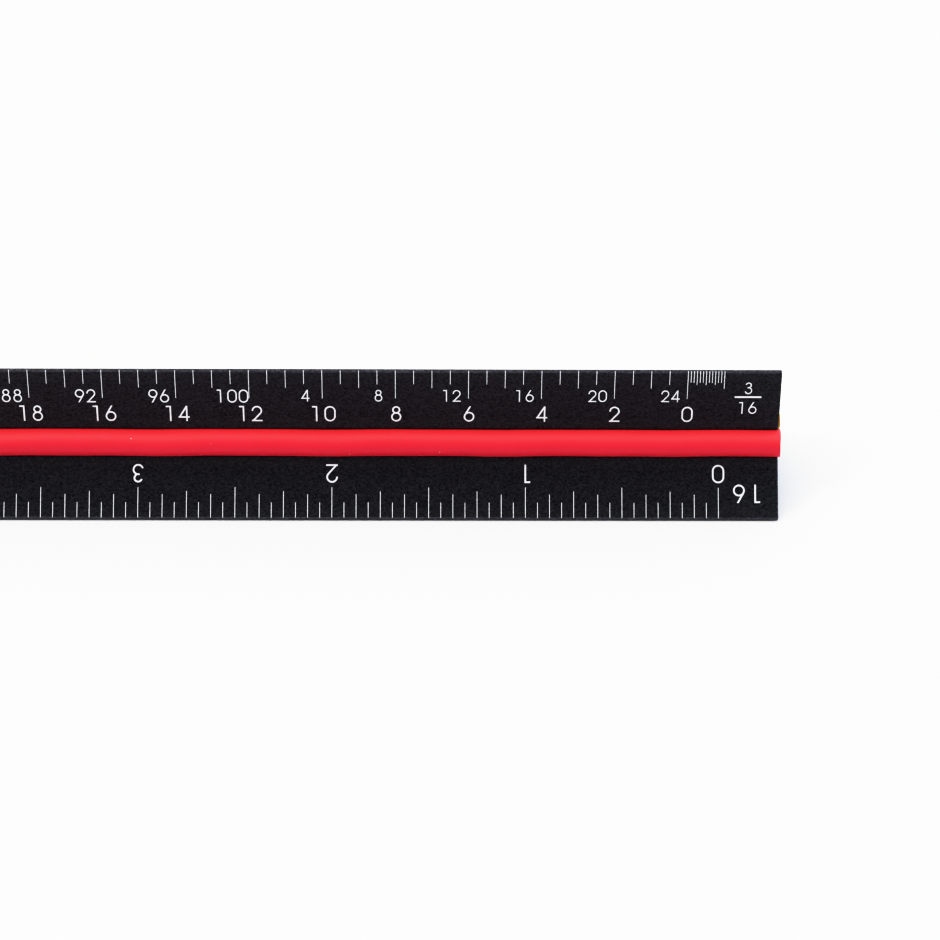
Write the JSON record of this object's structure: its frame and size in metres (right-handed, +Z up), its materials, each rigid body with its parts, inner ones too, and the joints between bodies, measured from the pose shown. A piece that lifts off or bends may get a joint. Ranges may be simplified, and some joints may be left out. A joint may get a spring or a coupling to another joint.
{
  "type": "triangular scale ruler",
  "caption": "Triangular drafting scale: a long black aluminium bar with hollowed faces, white graduations along its rounded edges and a soft colour strip in a groove along each face.",
  "frame": {"origin": "on the table under the top edge, half way along the aluminium body", "axes": "+X along the ruler towards the zero of the full-inch scale, +Z up from the table to the top edge, -Y towards the face with the full-inch scale and the red strip"},
  "size_m": [0.3216, 0.02, 0.0174],
  "materials": {
    "black_anodised": "black anodised, finely blasted",
    "red_cord": "soft satin plastic",
    "yellow_cord": "soft satin plastic",
    "blue_cord": "soft satin plastic",
    "white_ink": "printed ink"
  },
  "bodies": {
    "root": {"ruler_body": "black_anodised", "red_strip": "red_cord", "yellow_strip": "yellow_cord", "blue_strip": "blue_cord", "front_upper_lines": "white_ink", "front_upper_numbers": "white_ink", "front_lower_lines": "white_ink", "front_lower_numbers": "white_ink", "rear_upper_lines": "white_ink", "rear_upper_numbers": "white_ink", "rear_lower_lines": "white_ink", "rear_lower_numbers": "white_ink", "base_near_lines": "white_ink", "base_near_numbers": "white_ink", "base_far_lines": "white_ink", "base_far_numbers": "white_ink"}
  },
  "joints": []
}
